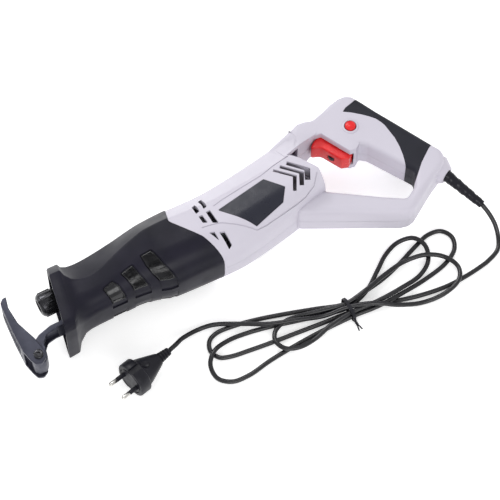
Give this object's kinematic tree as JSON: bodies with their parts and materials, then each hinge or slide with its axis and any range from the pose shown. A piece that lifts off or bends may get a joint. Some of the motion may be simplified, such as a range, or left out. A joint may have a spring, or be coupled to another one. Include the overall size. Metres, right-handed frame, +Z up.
{
  "type": "reciprocating saw",
  "caption": "Corded reciprocating saw with a D-shaped handle, rubber nose boot, pivoting shoe, keyless blade holder, and a tied mains lead with its plug.",
  "frame": {"origin": "middle of the bounding box of the saw without its lead, on the surface that it lies on", "axes": "+X back along the plunger towards the handle, +Y to the top of the handle, +Z up, out of the left side"},
  "size_m": [0.4933, 0.228, 0.08],
  "materials": {
    "housing": "satin moulded light grey, fine grain",
    "boot_rubber": "moulded black rubber",
    "grip_rubber": "fine grained black rubber",
    "red_plastic": "glossy saturated red",
    "plate": "smooth blue-black",
    "black_plastic": "fine moulded black",
    "shoe_metal": "gunmetal grey, semi gloss",
    "black_metal": "glossy black oxide",
    "steel": "ground bright steel",
    "laminated_iron": "varnished sheet stack",
    "cast_alloy": "die cast, lightly blasted",
    "copper_wire": "copper colour, enamelled",
    "brass": "plain turned",
    "carbon": "pressed carbon",
    "cord_sheath": "smooth black sheath",
    "plug_body": "moulded black, semi gloss",
    "nickel": "nickel plated",
    "capacitor_case": "moulded grey"
  },
  "bodies": {
    "saw_body": {"housing_left": "housing", "housing_right": "housing", "grip_pad_left": "grip_rubber", "grip_pad_right": "grip_rubber", "badge_plate_left": "plate", "badge_plate_right": "plate", "nose_boot": "boot_rubber", "switch_module": "black_plastic", "capacitor": "capacitor_case", "gear_case": "cast_alloy", "gear_cover": "cast_alloy", "front_bushing": "brass", "plunger_seal": "grip_rubber", "gear_bearing": "steel", "bearing_front": "steel", "bearing_rear": "steel", "stator_core": "laminated_iron", "field_coil_upper": "copper_wire", "field_coil_lower": "copper_wire", "brush_holder_left": "brass", "brush_left": "carbon", "brush_holder_right": "brass", "brush_right": "carbon", "strain_relief": "plug_body", "power_cord": "cord_sheath", "cord_hank": "cord_sheath", "cord_tail": "cord_sheath", "cord_tie": "black_plastic", "plug": "plug_body", "plug_pin_1": "nickel", "plug_pin_2": "nickel", "housing_screw_1": "steel", "housing_screw_2": "steel", "housing_screw_3": "steel", "housing_screw_4": "steel", "housing_screw_5": "steel", "housing_screw_6": "steel", "housing_screw_7": "steel", "housing_screw_8": "steel", "housing_screw_9": "steel", "housing_screw_10": "steel"},
    "plunger": {"plunger": "steel", "chuck_body": "black_metal"},
    "collar": {"release_collar": "black_metal"},
    "shoe_arm": {"shoe_arm": "shoe_metal", "shoe_pin": "black_metal"},
    "shoe": {"shoe": "shoe_metal"},
    "trigger": {"trigger": "red_plastic"},
    "speed_dial": {"speed_dial": "black_plastic"},
    "lock_button": {"lock_button": "red_plastic"},
    "crank_gear": {"crank_gear": "steel", "gear_shaft": "steel", "crank_pin": "steel", "crank_roller": "steel"},
    "armature": {"armature_shaft": "steel", "armature_core": "laminated_iron", "commutator": "copper_wire", "fan": "black_plastic"}
  },
  "joints": [
    {"name": "plunger_stroke", "type": "slide", "parent": "saw_body", "child": "plunger", "axis": [1, 0, 0], "range_m": [-0.01, 0.01]},
    {"name": "collar_twist", "type": "hinge", "parent": "plunger", "child": "collar", "pos_m": [-0.19274, 0.0143, 0.04], "axis": [1, 0, 0], "range_deg": [0, 60], "stiffness_Nm_per_rad": 0.12},
    {"name": "armature_spin", "type": "hinge", "parent": "saw_body", "child": "armature", "pos_m": [0.02726, 0.0037, 0.04], "axis": [1, 0, 0], "continuous": true},
    {"name": "crank_gear_spin", "type": "hinge", "parent": "saw_body", "child": "crank_gear", "pos_m": [-0.04274, 0.0143, 0.04], "axis": [0, 1, 0], "continuous": true},
    {"name": "trigger_pull", "type": "slide", "parent": "saw_body", "child": "trigger", "axis": [0.8996, 0.4368, 0], "range_m": [0, 0.006], "stiffness_N_per_m": 900},
    {"name": "speed_dial_turn", "type": "hinge", "parent": "trigger", "child": "speed_dial", "pos_m": [0.13745, 0.0259, 0.04], "axis": [0, 0, 1], "range_deg": [-135, 135]},
    {"name": "lock_press", "type": "slide", "parent": "saw_body", "child": "lock_button", "axis": [0, 0, -1], "range_m": [0, 0.003], "stiffness_N_per_m": 600},
    {"name": "shoe_extend", "type": "slide", "parent": "saw_body", "child": "shoe_arm", "axis": [-1, 0, 0], "range_m": [0, 0.022]},
    {"name": "shoe_pivot", "type": "hinge", "parent": "shoe_arm", "child": "shoe", "pos_m": [-0.22675, -0.0401, 0.04], "axis": [0, 0, 1], "range_deg": [-12, 30]}
  ],
  "couplings": [
    {"joint": "crank_gear_spin", "follows": "armature_spin", "ratio": 0.2}
  ]
}
